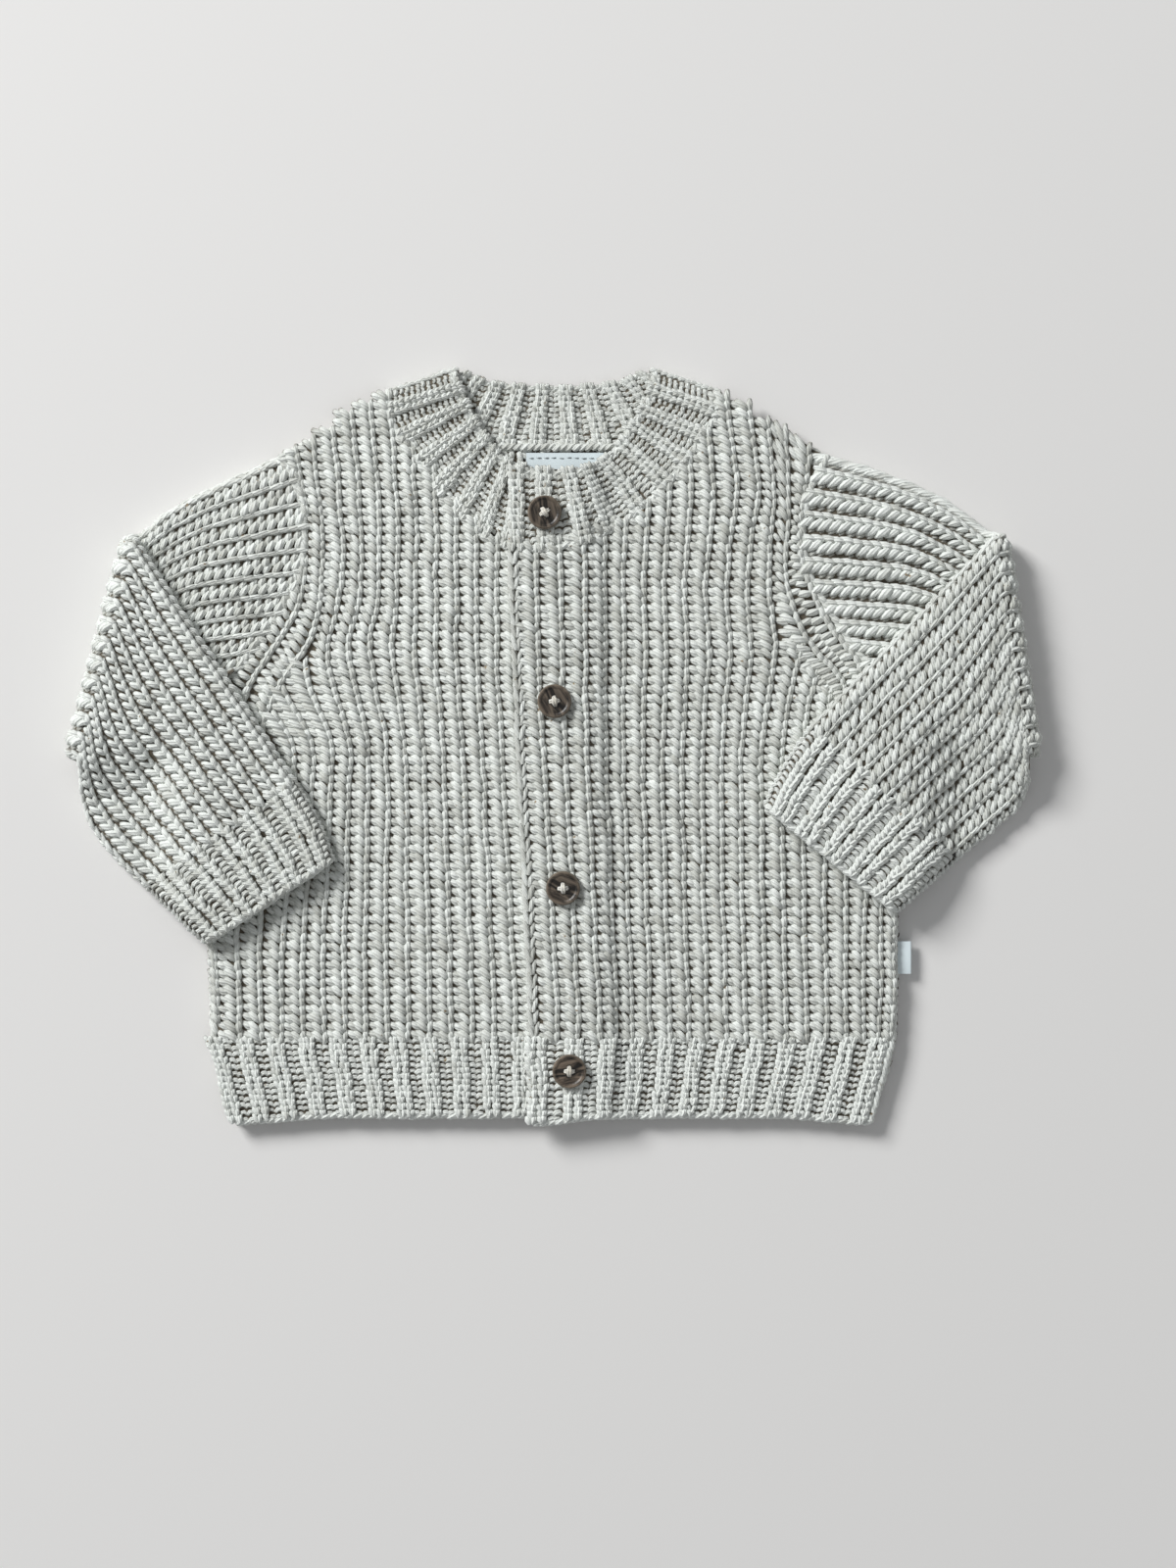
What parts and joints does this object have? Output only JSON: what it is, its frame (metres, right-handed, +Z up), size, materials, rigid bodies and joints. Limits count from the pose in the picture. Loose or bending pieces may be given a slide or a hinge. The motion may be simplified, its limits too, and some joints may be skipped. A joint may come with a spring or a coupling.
{
  "type": "baby cardigan",
  "caption": "Long-sleeved baby cardigan in chunky rib knit, buttoned up the front and laid flat with its sleeves folded over it.",
  "frame": {"origin": "on the surface that the cardigan lies on, under the middle of its bounding box", "axes": "+Z up out of the surface, +Y towards the neck, +X towards the wearer's left"},
  "size_m": [0.4008, 0.3114, 0.0139],
  "materials": {
    "cotton_brioche_knit": "cream marled cotton, half fisherman's rib",
    "cotton_rib_knit": "cream marled cotton, two by two rib",
    "brown_button": "turned, satin, dark grain",
    "cream_thread": "cotton sewing yarn",
    "white_label": "woven tape, bare"
  },
  "bodies": {
    "root": {"back_panel": "cotton_brioche_knit", "back_hem": "cotton_rib_knit", "front_right_panel": "cotton_brioche_knit", "front_left_panel": "cotton_brioche_knit", "front_right_hem": "cotton_rib_knit", "front_left_hem": "cotton_rib_knit", "neckband": "cotton_rib_knit", "right_sleeve": "cotton_brioche_knit", "right_cuff": "cotton_rib_knit", "left_sleeve": "cotton_brioche_knit", "left_cuff": "cotton_rib_knit", "button_1": "brown_button", "button_2": "brown_button", "button_3": "brown_button", "button_4": "brown_button", "button_thread_1": "cream_thread", "button_thread_2": "cream_thread", "button_thread_3": "cream_thread", "button_thread_4": "cream_thread", "neck_label": "white_label", "side_label": "white_label"}
  },
  "joints": []
}
